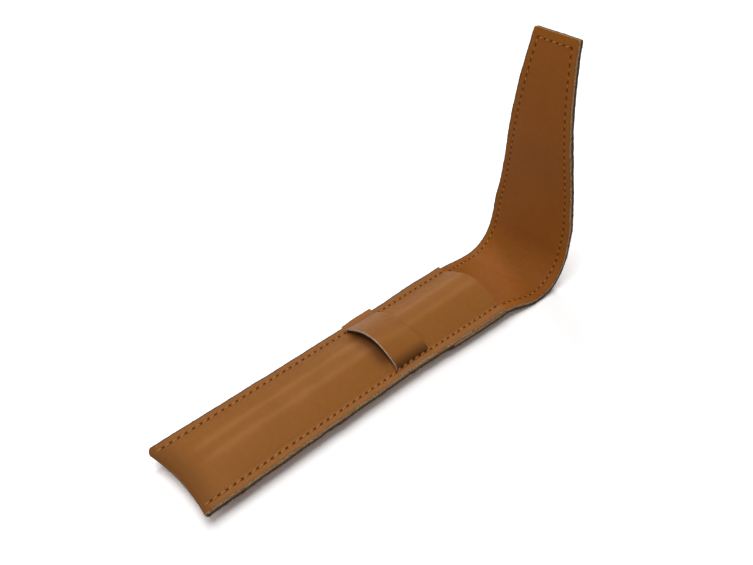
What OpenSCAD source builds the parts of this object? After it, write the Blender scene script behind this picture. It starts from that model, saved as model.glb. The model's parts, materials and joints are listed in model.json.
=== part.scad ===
// Single pen sleeve. One long strip of leather is folded at the bottom end into a pocket and runs on
// past the mouth as a lined flap. A keeper loop crosses the front, and one seam holds all of it.
// X is across the sleeve, Y runs from the folded end to the flap, Z is up. Z = 0 is the surface it
// lies on, and the origin is the middle of the pocket's underside.

/* [Leather] */
// Width of the strip, cut flat
strip_w = 40; // [38:0.5:44]
// Thickness of the outer leather
outer_t = 1.4; // [1.1:0.1:1.8]
// Thickness of the flap's lining
lining_t = 1.1; // [0.8:0.1:1.4]
// Thickness of the keeper loop's leather
loop_t = 1.2; // [0.9:0.1:1.6]
// Glue line between outer leather and lining
glue_t = 0.05; // [0.03:0.01:0.1]

/* [Pocket] */
// Length of the pocket, folded end to mouth
pocket_len = 147; // [135:1:160]
// Width of the pocket, drawn in by its bulge
pocket_w = 35.8; // [34:0.2:38]
// Height of the front's bulge over its sewn margins, at the mouth
front_rise = 6; // [5:0.1:7]
// The same height near the folded end
foot_rise = 4.4; // [3.5:0.1:5]
// Height of the sewn margins' underside over the table
margin_h = 4.8; // [4:0.1:5.5]
// Width of the flat that the underside rests on
rest_w = 12; // [9:0.5:14]
// Length over which the bulge dies out towards the fold
fade_len = 24; // [18:1:32]
// Height of the bulge that is left at the fold, front and back each
end_rise = 1.2; // [0.8:0.1:1.8]
// How far the middle of the fold is drawn in
fold_bow = 1; // [0:0.1:1.5]
// Radius of the two bottom corners, seen from above
corner_r = 2; // [1.5:0.1:2.6]

/* [Seam] */
// Distance of the seam from the edge
seam_margin = 3; // [2.5:0.1:3.5]
// Pitch of the stitches
stitch_pitch = 3.1; // [2.8:0.1:3.6]
// Length of a stitch that shows
stitch_len = 2.3; // [1.8:0.1:2.5]
// Width of the thread as it lies
thread_w = 0.7; // [0.5:0.05:0.9]
// Height of the thread over the leather
thread_h = 0.3; // [0.2:0.02:0.34]
// Gap left under each stitch
thread_seat = 0.05; // [0.02:0.01:0.1]
// First stitch's distance from the fold
first_stitch = 3.4; // [3:0.1:5]
// Gap left between the two sewn margins
seam_gap = 0.1; // [0.06:0.01:0.2]

/* [Keeper loop] */
// Width of the loop, along the sleeve
loop_w = 16.5; // [12:0.5:20]
// Distance from the mouth to the loop
loop_back = 41.5; // [34:0.5:50]
// Room under the crown of the loop, for the flap's tip
loop_slack = 2.8; // [2.6:0.1:3]
// How far each end of the loop stands past the pocket's edge
loop_over = 0.9; // [0:0.1:1.5]

/* [Flap] */
// Length of the flap along the leather, mouth to tip
flap_len = 137; // [128:1:142]
// Width of the tip
tip_w = 20.6; // [16:0.2:24]
// Length along the leather from the mouth to where the flap narrows
taper_start = 56; // [52:1:64]
// Length of the flap's base, which lies on the table and flattens out from the mouth
base_len = 20.8; // [18:0.2:24]
// Radius of the bend, at the middle of the leather
bend_r = 17; // [15:0.5:20]
// Angle of the bend
bend_deg = 78; // [72:1:82]
// Steepest lean of the flap, back over the pocket
lean_deg = 96; // [92:1:98]
// Length over which the flap reaches that lean
lean_len = 34; // [28:1:40]
// Length that the lean is held for
hold_len = 10; // [6:1:14]
// Slope of the flap at its tip
tip_deg = 79; // [76:1:84]
// How far the lining reaches into the pocket
lining_tuck = 30; // [20:1:34]
// Length over which the back makes room for the lining's end
tuck_ramp = 6; // [4:1:8]
// Clearance round each bending line
bend_gap = 0.3; // [0.2:0.05:0.4]
// Radius of the tip's corners
tip_r = 1; // [0.5:0.1:2]

/* [Hidden] */
$fn = 48;

leather = [0.55, 0.35, 0.17];
lining_leather = [0.49, 0.29, 0.12];
loop_leather = [0.58, 0.37, 0.18];
thread = [0.72, 0.46, 0.19];

y_end = -pocket_len / 2;
y_mouth = pocket_len / 2;
half_w = pocket_w / 2;
front_seat = margin_h + outer_t + seam_gap;       // underside of the front's margins
front_top = front_seat + outer_t;                 // top of the front's margins
flap_t = outer_t + glue_t + lining_t;
flap_r = flap_t / 2;
rest_half = rest_w / 2;
thread_room = thread_seat + thread_h;
base_lift = thread_room + thread_seat;            // the stitches hold the flap's base off the table
function bulge_half(w) = w - seam_margin - thread_w / 2;  // the seam lies beside the bulge

// The flap's layers, as distances from the middle of its thickness
outer_lo = -flap_r;
outer_hi = outer_lo + outer_t;
lining_lo = outer_hi + glue_t;
lining_hi = flap_r;

// The bend is four equal lengths with a bending line in the middle of each
bend_count = 4;
bend_len = bend_r * bend_deg * PI / 180;
bend_step = bend_len / bend_count;
function bend_line(i) = base_len + bend_step * (i - 0.5);
tip_len = flap_len - base_len - bend_len - lean_len - hold_len;
spans = [
    [bend_len, 0, bend_deg],
    [lean_len, bend_deg, lean_deg],
    [hold_len, lean_deg, lean_deg],
    [tip_len, lean_deg, tip_deg]
];

function clamp(v) = max(0, min(1, v));
function smooth(v) = let (c = clamp(v)) c * c * (3 - 2 * c);
function mix(a, b, v) = a + (b - a) * v;
function backwards(list) = [for (i = [len(list) - 1:-1:0]) list[i]];

// A bulge across the sleeve: 1 in the middle, 0 at the seams, with its slope
function bump(v) = abs(v) >= 1 ? 0 : pow(1 - v * v, 1.5);
function bump_slope(v) = abs(v) >= 1 ? 0 : -3 * v * sqrt(1 - v * v);

// The same with a flat middle, for the underside
function flat_v(x, s) = max(0, abs(x) - rest_half) / (s - rest_half);

// Places across the leather where each section has a point
steps = [0.28, 0.55, 0.8];
function across(w) = let (
    s = bulge_half(w),
    right = concat([rest_half / 3, rest_half], [for (k = steps) mix(rest_half, s, k)], [s, w])
) concat([for (x = backwards(right)) -x], right);

// A point d off a line at x, height z and slope m, square to the line
function off(x, y, z, m, d) = let (l = sqrt(1 + m * m)) [x - d * m / l, y, z + d / l];

// Front panel: its underside is the bulge, and its top lies outer_t off that
function fade(y) = smooth((y - y_end) / fade_len);
function front_h(y) = mix(end_rise, mix(foot_rise, front_rise, (y - y_end) / pocket_len), fade(y));
function front_point(x, y, d) = let (s = bulge_half(half_w), h = front_h(y))
    off(x, y, front_seat + h * bump(x / s), h * bump_slope(x / s) / s, d);

// Back: its underside is flat in the middle and rises to the margins, and the margins drop by the
// lining's thickness where the lining lies between the layers
function margin_z(y) =
    margin_h - (lining_t + glue_t) * smooth((y - y_mouth + lining_tuck + tuck_ramp) / tuck_ramp);
function back_drop(y) = mix(end_rise, margin_z(y), fade(y));
function trough_point(x, y, w, edge_z, drop, d) = let (
    s = bulge_half(w),
    v = flat_v(x, s),
    m = -sign(x) * drop * bump_slope(v) / (s - rest_half)
) off(x, y, edge_z - drop * bump(v), m, d);
function back_point(x, y, d) = trough_point(x, y, half_w, margin_z(y), back_drop(y), d);

// Flap base: the trough flattens out and spreads to the strip's full width
function base_w(s) = mix(half_w, strip_w / 2, smooth(s / base_len));
function base_edge(s) = mix(margin_z(y_mouth), base_lift, smooth(s / base_len));
function base_mid(s) = base_lift * smooth(s / base_len);
function base_point(x, s, d) =
    trough_point(x, y_mouth + s, base_w(s), base_edge(s), base_edge(s) - base_mid(s), d);

// The fold: from front to back round a centre that depends on the bulge left there
function fold_in(x) = let (s = bulge_half(half_w))
    (seam_gap + end_rise * (bump(x / s) + bump(flat_v(x, s)))) / 2;
function fold_mid(x) = let (s = bulge_half(half_w))
    front_seat - seam_gap / 2 + end_rise * (bump(x / s) - bump(flat_v(x, s))) / 2;
function fold_shrink(a) = let (d = min(corner_r, (outer_t + seam_gap / 2) * (1 - sin(a))))
    1 - (corner_r - sqrt(corner_r * corner_r - (corner_r - d) * (corner_r - d))) / half_w;
function fold_point(x, a, d) = let (r = fold_in(x) + d, far = fold_in(x) + outer_t) [
    x * fold_shrink(a),
    y_end + fold_bow * (1 - pow(x / half_w, 2)) + far - r * sin(a),
    fold_mid(x) + r * cos(a)
];

// The flap's middle line in the YZ plane, s along the leather from the mouth
function arc_move(l, a, b) = abs(b - a) < 0.01
    ? l * [cos(a), sin(a)]
    : l * 180 / PI / (b - a) * [sin(b) - sin(a), cos(a) - cos(b)];
function slope_at(l, i = 0) = let (p = spans[i])
    l <= p[0] || i == len(spans) - 1
        ? mix(p[1], p[2], l / p[0])
        : slope_at(l - p[0], i + 1);
function place_at(l, i = 0, start = [y_mouth + base_len, base_lift + flap_r]) = let (p = spans[i])
    l <= p[0] || i == len(spans) - 1
        ? start + arc_move(l, p[1], mix(p[1], p[2], l / p[0]))
        : place_at(l - p[0], i + 1, start + arc_move(p[0], p[1], p[2]));
function flap_slope(s) = slope_at(s - base_len);
function flap_mid(s) = place_at(s - base_len);
function flap_along(s) = [cos(flap_slope(s)), sin(flap_slope(s))];
function flap_normal(s) = [-sin(flap_slope(s)), cos(flap_slope(s))];
function flap_point(s, d) = flap_mid(s) + d * flap_normal(s);
function flap_half(s) =
    mix(strip_w / 2, tip_w / 2, clamp((s - taper_start) / (flap_len - taper_start)));

// Rings of points, outer side first and then the inner side backwards
function ring(outside, inside) = concat(outside, backwards(inside));
function front_ring(y) = let (xs = across(half_w))
    ring([for (x = xs) front_point(x, y, outer_t)], [for (x = xs) front_point(x, y, 0)]);
function fold_ring(a) = let (xs = across(half_w))
    ring([for (x = xs) fold_point(x, a, outer_t)], [for (x = xs) fold_point(x, a, 0)]);
function back_ring(y, lo, hi) = let (xs = across(half_w))
    ring([for (x = xs) back_point(x, y, lo)], [for (x = xs) back_point(x, y, hi)]);
function base_ring(s, lo, hi) = let (xs = across(base_w(s)))
    ring([for (x = xs) base_point(x, s, lo)], [for (x = xs) base_point(x, s, hi)]);
function flat_ring(p, n, lo, hi) = let (xs = across(strip_w / 2), a = p + lo * n, b = p + hi * n)
    ring([for (x = xs) [x, a[0], a[1]]], [for (x = xs) [x, b[0], b[1]]]);
function nose_ring(a, lo, hi) = let (s = bend_line(1), r = flap_r * cos(a))
    flat_ring(flap_mid(s) + flap_r * sin(a) * flap_along(s), flap_normal(s), max(lo, -r), min(hi, r));
function base_rings(lo, hi) = concat(
    [for (k = [1:base_parts]) base_ring(base_len * k / base_parts, lo + flap_r, hi + flap_r)],
    [for (s = [mix(base_len, bend_line(1), 0.5), bend_line(1)])
        flat_ring(flap_mid(s), flap_normal(s), lo, hi)],
    [for (a = nose_angles) nose_ring(a, lo, hi)]
);
base_parts = 7;
nose_angles = [25, 50, 75];

// Closed skin over a row of rings
module skin(rings) {
    n = len(rings[0]);
    last = len(rings) - 1;
    polyhedron(
        points = [for (r = rings) for (p = r) p],
        faces = concat(
            end_faces(n, 0),
            [for (i = [0:last - 1]) for (j = [0:n - 1]) let (a = i * n + j, b = i * n + (j + 1) % n)
                for (f = [[a, b, b + n], [a, b + n, a + n]]) f],
            [for (f = end_faces(n, last * n)) backwards(f)]
        ),
        convexity = 8
    );
}

// Faces that close the first ring, from its outer side to its inner side
function end_faces(n, from) = [for (j = [0:n / 2 - 2]) let (a = from + j, b = from + n - 1 - j)
    for (f = [[a, b - 1, a + 1], [a, b, b - 1]]) f];

// Stations along the pocket, as distances from the folded end
end_steps = [0.22, 0.33, 0.46, 0.6, 0.78, 1];
body_parts = 4;
ramp_parts = 4;
tuck_y = y_mouth - lining_tuck;
front_ys = concat(
    [for (k = [body_parts:-1:1]) mix(y_end + fade_len, y_mouth, k / body_parts)],
    [for (k = backwards(end_steps)) y_end + fade_len * k]
);
back_ys = concat(
    [for (k = end_steps) y_end + fade_len * k],
    [for (k = [1:body_parts - 1]) mix(y_end + fade_len, tuck_y - tuck_ramp, k / (body_parts - 1))],
    [for (k = [ramp_parts - 1:-1:0]) tuck_y - tuck_ramp * k / ramp_parts],
    [mix(tuck_y, y_mouth, 0.5), y_mouth]
);

module outer_pocket() {
    color(leather)
        skin(concat(
            [for (y = front_ys) front_ring(y)],
            [for (a = [0:30:180]) fold_ring(a)],
            [for (y = back_ys) back_ring(y, 0, outer_t)],
            base_rings(outer_lo, outer_hi)
        ));
}

module lining_base() {
    color(lining_leather)
        skin(concat(
            [for (y = [tuck_y, mix(tuck_y, y_mouth, 0.5), y_mouth])
                back_ring(y, outer_t + glue_t, flap_t)],
            base_rings(lining_lo, lining_hi)
        ));
}

// Keeper loop: its ends lie on the front's margins, and it stands off the front in between
module keeper_loop() {
    s = bulge_half(half_w);
    far_y = y_mouth - loop_back;
    foot = half_w + loop_over;
    line = [for (x = across(half_w)) let (p = front_point(x, far_y, outer_t))
        [p[0], p[2] + loop_slack * max(0, 1 - pow(p[0] / s, 2))]];
    n = len(line);
    lift = [for (i = [1:n - 2]) let (
        m = i == 1 || i == n - 2 ? 0
            : (line[i + 1][1] - line[i - 1][1]) / (line[i + 1][0] - line[i - 1][0]),
        l = sqrt(1 + m * m)
    ) [line[i][0] - loop_t * m / l, line[i][1] + loop_t / l]];
    under = concat([[-foot, front_top]], [for (i = [1:n - 2]) line[i]], [[foot, front_top]]);
    over = concat([[-foot, front_top + loop_t]], lift, [[foot, front_top + loop_t]]);
    color(loop_leather)
        translate([0, far_y, 0])
            rotate([90, 0, 0])
                linear_extrude(height = loop_w)
                    polygon(concat(under, backwards(over)));
}

// One stitch, lying along Y on a surface at z = 0
module stitch(l) {
    translate([-thread_w / 2, -l / 2, 0])
        cube([thread_w, l, thread_h]);
}

// Stitches of the pocket: on the front, or on the loop's ends, and on the back's underside
seam_x = half_w - seam_margin;
stitch_ys = [for (y = [y_end + first_stitch:stitch_pitch:y_mouth - stitch_len / 2]) y];
loop_far = y_mouth - loop_back;
loop_near = loop_far - loop_w;
function on_loop(y) = y > loop_near && y < loop_far;
function clears_loop(y) =
    abs(y - loop_near) > stitch_len / 2 && abs(y - loop_far) > stitch_len / 2;
function margin_slope(y) = let (e = 0.5) atan((margin_z(y + e) - margin_z(y - e)) / (2 * e));

// Stitches of the flap's base: a place s along the leather, and the margin's slope there
base_first = stitch_pitch / 2;
base_last = bend_line(1) - stitch_len / 2 - bend_gap;
base_ss = [for (s = [base_first:stitch_pitch:base_last]) s];
function edge_point(s, d) = s <= base_len
    ? let (p = base_point(base_w(s) - seam_margin, s, d)) [p[1], p[2]]
    : flap_point(s, d - flap_r);
function edge_slope(s) = let (e = 0.5, a = edge_point(s - e, 0), b = edge_point(s + e, 0))
    atan2(b[1] - a[1], b[0] - a[0]);

module top_thread_pocket() {
    color(thread) {
        for (side = [-1, 1], y = stitch_ys)
            if (clears_loop(y))
                translate([side * seam_x, y, front_top + (on_loop(y) ? loop_t : 0) + thread_seat])
                    stitch(stitch_len);
        base_stitches(flap_t + thread_seat);
    }
}

module under_thread_pocket() {
    color(thread) {
        for (side = [-1, 1], y = stitch_ys)
            translate([side * seam_x, y, margin_z(y)])
                rotate([margin_slope(y), 0, 0])
                    translate([0, 0, -thread_room])
                        stitch(stitch_len);
        base_stitches(-thread_room);
    }
}

module base_stitches(d) {
    for (side = [-1, 1], s = base_ss)
        let (p = edge_point(s, d), x = base_w(min(s, base_len)) - seam_margin)
            translate([side * x, p[0], p[1]])
                rotate([edge_slope(s), 0, 0])
                    stitch(stitch_len);
}

// A layer of the flap in the YZ plane, from s = a to s = b, between lo and hi off the middle
module layer(a, b, lo, hi, parts) {
    ss = [for (k = [0:parts]) mix(a, b, k / parts)];
    polygon(concat([for (s = ss) flap_point(s, lo)], [for (s = backwards(ss)) flap_point(s, hi)]));
}

module at_line(i) {
    translate(flap_mid(bend_line(i)))
        children();
}

// The square end of a layer past a bending line, which the round nose is cut from
module layer_end(i, lo, hi) {
    at_line(i)
        rotate(flap_slope(bend_line(i)))
            translate([-0.01, lo])
                square([flap_r + 0.01, hi - lo]);
}

module across_x(w) {
    rotate([90, 0, 90])
        linear_extrude(height = w, center = true)
            children();
}

// One length of the bend: a hollow at its near line, a round nose at its far one
bend_parts = 5;
module bend_piece(i, lo, hi) {
    across_x(strip_w)
        difference() {
            union() {
                layer(bend_line(i), bend_line(i + 1), lo, hi, bend_parts);
                intersection() {
                    layer_end(i + 1, lo, hi);
                    at_line(i + 1) circle(r = flap_r);
                }
            }
            at_line(i) circle(r = flap_r + bend_gap);
        }
}

// The flap past the bend: the bent layer, cut to the tapered outline seen from the front
flap_parts = 40;
module flap_piece(lo, hi) {
    line = bend_line(bend_count);
    tip = flap_mid(flap_len);
    taper = flap_mid(taper_start);
    outline = [
        [-strip_w / 2, flap_mid(line)[1] - flap_t], [strip_w / 2, flap_mid(line)[1] - flap_t],
        [strip_w / 2, taper[1]], [tip_w / 2, tip[1] - tip_r], [tip_w / 2 - tip_r, tip[1] + flap_t],
        [-tip_w / 2 + tip_r, tip[1] + flap_t], [-tip_w / 2, tip[1] - tip_r], [-strip_w / 2, taper[1]]
    ];
    intersection() {
        across_x(strip_w)
            difference() {
                layer(line, flap_len, lo, hi, flap_parts);
                at_line(bend_count) circle(r = flap_r + bend_gap);
            }
        translate([0, y_mouth + base_len + bend_r + flap_len / 2, 0])
            rotate([90, 0, 0])
                linear_extrude(height = flap_len)
                    polygon(outline);
    }
}

// A stitch on the flap, s along the leather, x across it and its underside d off the middle
module flap_stitch(s, x, d, l, turn = 0) {
    p = flap_point(s, d);
    translate([x, p[0], p[1]])
        rotate([flap_slope(s), 0, 0])
            rotate([0, 0, turn])
                stitch(l);
}

// Undersides of the stitches on the lining and on the outer leather
top_d = flap_r + thread_seat;
under_d = -flap_r - thread_room;

// Room that the stitches leave beside a bending line
line_room = sqrt(pow(flap_r + bend_gap, 2) - pow(flap_r, 2)) + 0.15;
module bend_thread(i, d) {
    room = bend_step - line_room - 2 * bend_gap;
    l = (room - bend_gap) / 2;
    for (side = [-1, 1], k = [0, 1])
        flap_stitch(bend_line(i) + line_room + l / 2 + k * (l + bend_gap),
            side * (strip_w / 2 - seam_margin), d, l);
}

taper_turn = atan2(strip_w / 2 - tip_w / 2, flap_len - taper_start);
flap_first = bend_line(bend_count) + line_room + stitch_len / 2;
flap_last = flap_len - seam_margin - stitch_len / 2;
tip_half = tip_w / 2 - seam_margin;
tip_count = round(2 * tip_half / stitch_pitch);
module flap_thread(d) {
    for (side = [-1, 1], s = [flap_first:stitch_pitch:flap_last])
        flap_stitch(s, side * (flap_half(s) - seam_margin), d, stitch_len,
            s > taper_start ? side * taper_turn : 0);
    for (k = [0:tip_count - 1])
        flap_stitch(flap_len - seam_margin, (k - (tip_count - 1) / 2) * stitch_pitch, d,
            stitch_len, 90);
}

module outer_bend(i) {
    color(leather) bend_piece(i, outer_lo, outer_hi);
}

module lining_bend(i) {
    color(lining_leather) bend_piece(i, lining_lo, lining_hi);
}

module top_thread_bend(i) {
    color(thread) bend_thread(i, top_d);
}

module under_thread_bend(i) {
    color(thread) bend_thread(i, under_d);
}

module outer_flap() {
    color(leather) flap_piece(outer_lo, outer_hi);
}

module lining_flap() {
    color(lining_leather) flap_piece(lining_lo, lining_hi);
}

module top_thread_flap() {
    color(thread) flap_thread(top_d);
}

module under_thread_flap() {
    color(thread) flap_thread(under_d);
}

outer_pocket();
lining_base();
keeper_loop();
top_thread_pocket();
under_thread_pocket();
outer_bend(1);  // outer_bend_1
lining_bend(1);  // lining_bend_1
top_thread_bend(1);  // top_thread_bend_1
under_thread_bend(1);  // under_thread_bend_1
outer_bend(2);  // outer_bend_2
lining_bend(2);  // lining_bend_2
top_thread_bend(2);  // top_thread_bend_2
under_thread_bend(2);  // under_thread_bend_2
outer_bend(3);  // outer_bend_3
lining_bend(3);  // lining_bend_3
top_thread_bend(3);  // top_thread_bend_3
under_thread_bend(3);  // under_thread_bend_3
outer_flap();
lining_flap();
top_thread_flap();
under_thread_flap();
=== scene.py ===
import json
import math

import bmesh
import bpy
from mathutils import Matrix, Vector, noise


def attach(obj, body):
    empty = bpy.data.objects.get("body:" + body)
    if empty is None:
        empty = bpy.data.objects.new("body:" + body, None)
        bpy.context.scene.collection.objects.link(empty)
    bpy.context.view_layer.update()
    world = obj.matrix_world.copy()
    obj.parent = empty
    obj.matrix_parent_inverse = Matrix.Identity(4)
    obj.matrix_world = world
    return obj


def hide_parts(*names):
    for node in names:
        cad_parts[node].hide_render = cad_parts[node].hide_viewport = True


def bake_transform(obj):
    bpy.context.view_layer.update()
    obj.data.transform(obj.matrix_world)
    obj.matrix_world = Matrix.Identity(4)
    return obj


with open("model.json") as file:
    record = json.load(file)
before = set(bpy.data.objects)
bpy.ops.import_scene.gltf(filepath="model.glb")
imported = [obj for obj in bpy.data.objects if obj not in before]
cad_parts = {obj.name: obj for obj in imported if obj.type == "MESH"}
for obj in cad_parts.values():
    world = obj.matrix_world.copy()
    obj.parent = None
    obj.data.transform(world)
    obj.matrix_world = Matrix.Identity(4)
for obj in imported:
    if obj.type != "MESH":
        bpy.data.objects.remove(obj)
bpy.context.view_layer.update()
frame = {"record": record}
mm = 0.001
mounts = {m["name"]: m for m in frame["record"]["mounts"]}
mouthY = mounts["pen_pocket"]["pos_m"][1] / mm    # the mouth, on the sleeve's length
print("frame loaded")


# Sizes are in millimetres and on the CAD's lines, and meshes are written in metres
pocket = {
    "length": 147,
    "halfWidth": 17.9,    # drawn in by the bulge
    "thick": 1.4,
    "frontRise": 5.3,    # bulge over the margins, at the mouth and at the fold
    "footRise": 2.6,
    "marginHeight": 4.8,
    "restHalf": 6,    # half of the flat that it lies on
    "fadeLength": 24,    # the bulge sinks to endRise over this length before the fold
    "endRise": 1.2,
    "foldBow": 1.6,
    "foldSkew": 0.7,    # how far its right end is folded short
    "foldZone": 16,    # the last rows bunch up here, to meet the bowed fold
    "cornerLeft": 2,
    "cornerRight": 1.3,
    "crease": 0.18,    # the front bends up sharply just inside its seam
    "creaseAt": 4.5,
    "creaseReach": 0.55,
    "wave": 0.16,    # slow unevenness of the front
    "waveSize": 16,
    "waveHalf": 15,
}
lining = {"thick": 1.1, "glue": 0.05, "tuck": 30, "ramp": 6}
seam = {
    "margin": 3,
    "pitch": 3.1,
    "length": 2.3,
    "width": 0.7,
    "first": 3.4,
    "gap": 0.1,
    "press": 0.1,    # how deep the leather is pressed all along the seam
    "holePull": 0.2,    # how much deeper at a hole
    "tipBare": 2.4,    # the side rows end this far from the flap's tip
}
flap = {
    "length": 137,
    "halfWidth": 20,
    "tipHalf": 10.3,
    "taperStart": 56,
    "base": 20.8,
    "baseLift": 0.4,
    "bendRadius": 17,
    "bendAngle": 78,
    "leanAngle": 96,
    "leanLength": 34,
    "holdLength": 10,
    "tipAngle": 79,
    "tipCorner": 0.6,
    "tipFuzz": 0.5,
}
loop = {
    "near": 15.5,
    "far": 32,
    "thick": 1.05,
    "thinEnd": 0.35,    # share of the thickness left at its skived ends
    "thinFrom": 13.2,
    "thinReach": 2.4,
    "clear": 0.02,
    "nearGap": 2.8,    # how far its middle stands off the front
    "farGap": 0.2,
    "left": {"near": 2.7, "far": 0.9, "power": 3.5},    # how far its shoulders stand off, how squarely
    "right": {"near": 2.4, "far": 1.5, "power": 5},
    "crownHalf": 2,
    "shoulderReach": 9,
    "seamHalf": 14.75,    # it lies down on the front here
    "liftPower": 0.6,
    "nearEnd": 18.4,
    "leftEnd": 18.9,
    "rightEnd": 17.85,
    "endReach": 9,
    "corner": 1.0,
    "wave": 0.15,
    "waveSize": 9,
    "rowStep": 0.75,
    "flatStretch": 1.12,    # it is longer laid flat
    "farBand": 0.4,    # its far edge is skived and dyed over this width
}
# The strip isn't cut and sewn quite true: its edges stray outwards between the loop and the flap
stray = {
    "seam": 1.3,    # to the right, at the seam and then out to the edge
    "edge": 1.0,
    "flap": 0.45,
    "start": 14,
    "holdTo": 102,
    "end": 142,
    "left": 0.8,    # to the left, at the edge alone
    "leftStart": 35,
    "leftReach": 20,
    "leftFade": 24,
}
footY = mouthY - pocket["length"]
pocketHalf = pocket["halfWidth"]
frontSeat = pocket["marginHeight"] + pocket["thick"] + seam["gap"]    # the front's inner face at the seam
flapThick = pocket["thick"] + lining["glue"] + lining["thick"]
flapHalf = flapThick / 2
flapEnd = flap["length"] + flap["tipFuzz"]
firstStitch = footY + seam["first"]
bendLength = flap["bendRadius"] * math.radians(flap["bendAngle"])
bendCount = 4    # the CAD's bending lines
cuts = [flap["base"] + bendLength / bendCount * k for k in range(bendCount + 1)]


def smooth(v):
    c = min(max(v, 0), 1)
    return c * c * (3 - 2 * c)


def mix(a, b, v):
    return a + (b - a) * v


def bump(v):
    return (1 - v * v) ** 1.5 if abs(v) < 1 else 0


def bumpSlope(v):
    return -3 * v * math.sqrt(1 - v * v) if abs(v) < 1 else 0


def roundOff(corner, into):
    # how far a corner of that radius falls back at a place so far into its arc
    return corner - math.sqrt(max(0, corner ** 2 - into ** 2))


def offLine(x, y, z, slope, d):
    # a point d off a line across the sleeve, square to it
    stretch = math.hypot(1, slope)
    return Vector((x - d * slope / stretch, y, z + d / stretch))


# The pocket's form: a front that bulges, a back that sags to a flat, and a fold that joins them
def bulgeHalf(w):
    return w - seam["margin"] - seam["width"] / 2


def fade(y):
    return smooth((y - footY) / pocket["fadeLength"])


def frontRise(y):
    full = mix(pocket["footRise"], pocket["frontRise"], (y - footY) / pocket["length"])
    return mix(pocket["endRise"], full, fade(y))


def frontPlace(x, y, d):
    s, h = bulgeHalf(pocketHalf), frontRise(y)
    return offLine(x, y, frontSeat + h * bump(x / s), h * bumpSlope(x / s) / s, d)


def flatShare(x, s):
    return max(0, abs(x) - pocket["restHalf"]) / (s - pocket["restHalf"])


def troughPlace(x, y, w, edgeZ, drop, d):
    s = bulgeHalf(w)
    v = flatShare(x, s)
    slope = -math.copysign(1, x) * drop * bumpSlope(v) / (s - pocket["restHalf"])
    return offLine(x, y, edgeZ - drop * bump(v), slope, d)


def marginHeight(y):
    room = smooth((y - mouthY + lining["tuck"] + lining["ramp"]) / lining["ramp"])
    return pocket["marginHeight"] - (lining["thick"] + lining["glue"]) * room


def backPlace(x, y, d):
    drop = mix(pocket["endRise"], marginHeight(y), fade(y))
    return troughPlace(x, y, pocketHalf, marginHeight(y), drop, d)


def basePlace(x, s, d):
    t = smooth(s / flap["base"])
    w = mix(pocketHalf, flap["halfWidth"], t)
    edge = mix(marginHeight(mouthY), flap["baseLift"], t)
    return troughPlace(x, mouthY + s, w, edge, edge - flap["baseLift"] * t, d)


def foldInner(x):
    s = bulgeHalf(pocketHalf)
    return (seam["gap"] + pocket["endRise"] * (bump(x / s) + bump(flatShare(x, s)))) / 2


def foldStart(x):
    share = x / pocketHalf
    short = pocket["foldBow"] * (1 - share ** 2) + pocket["foldSkew"] * (1 + share) / 2
    return short + foldInner(x) + pocket["thick"]


def foldCorner(x):
    return pocket["cornerRight"] if x > 0 else pocket["cornerLeft"]


def foldPlace(x, angle, d):
    s = bulgeHalf(pocketHalf)
    corner = foldCorner(x)
    depth = min(corner, (pocket["thick"] + seam["gap"] / 2) * (1 - math.sin(angle)))
    drawn = roundOff(corner, corner - depth)
    middle = frontSeat - seam["gap"] / 2 + pocket["endRise"] * (bump(x / s) - bump(flatShare(x, s))) / 2
    r = foldInner(x) + d
    return Vector((
        x * (1 - drawn / pocketHalf),
        footY + foldStart(x) - r * math.sin(angle),
        middle + r * math.cos(angle),
    ))


# The flap's middle line is a row of arcs: each has its length and its slope at both ends
arcs = [
    (bendLength, 0, flap["bendAngle"]),
    (flap["leanLength"], flap["bendAngle"], flap["leanAngle"]),
    (flap["holdLength"], flap["leanAngle"], flap["leanAngle"]),
]
arcs.append((flap["length"] - flap["base"] - sum(a[0] for a in arcs), flap["leanAngle"], flap["tipAngle"]))
nearlyStraight = 1e-6


def flapLine(s):
    # place on the middle line, and the slope there in radians
    y, z = mouthY + flap["base"], flap["baseLift"] + flapHalf
    rest = s - flap["base"]
    for i, (length, startAngle, endAngle) in enumerate(arcs):
        here = rest if i == len(arcs) - 1 else min(rest, length)
        a, b = math.radians(startAngle), math.radians(mix(startAngle, endAngle, here / length))
        if abs(b - a) < nearlyStraight:
            y, z = y + here * math.cos(a), z + here * math.sin(a)
        else:
            r = here / (b - a)
            y, z = y + r * (math.sin(b) - math.sin(a)), z + r * (math.cos(a) - math.cos(b))
        rest -= here
        if rest <= 0:
            break
    return y, z, b


def flapPlace(x, s, d):
    # d is measured from the middle of the flap's thickness, towards the lining
    if s <= flap["base"]:
        return basePlace(x, s, d + flapHalf)
    y, z, slope = flapLine(s)
    return Vector((x, y - d * math.sin(slope), z + d * math.cos(slope)))


def flapWidth(s):
    if s < flap["base"]:
        return mix(pocketHalf, flap["halfWidth"], smooth(s / flap["base"]))
    share = (s - flap["taperStart"]) / (flap["length"] - flap["taperStart"])
    w = mix(flap["halfWidth"], flap["tipHalf"], min(max(share, 0), 1))
    into = s - flapEnd + flap["tipCorner"]
    return w - roundOff(flap["tipCorner"], into) if into > 0 else w


# What the seam and the knife do to the leather
def stitchIndex(y):
    # whole numbers are the middles of stitches, and halves are the holes
    return (y - firstStitch) / seam["pitch"]


def seamPress(e, k):
    # how far the leather is pulled in at distance e from its edge, beside stitch k
    across = math.exp(-((e - seam["margin"]) / seam["width"]) ** 2)
    return across * (seam["press"] + seam["holePull"] * math.sin(math.pi * k) ** 2)


def frontCrease(e):
    return pocket["crease"] * math.exp(-((e - pocket["creaseAt"]) / pocket["creaseReach"]) ** 2)


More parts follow.
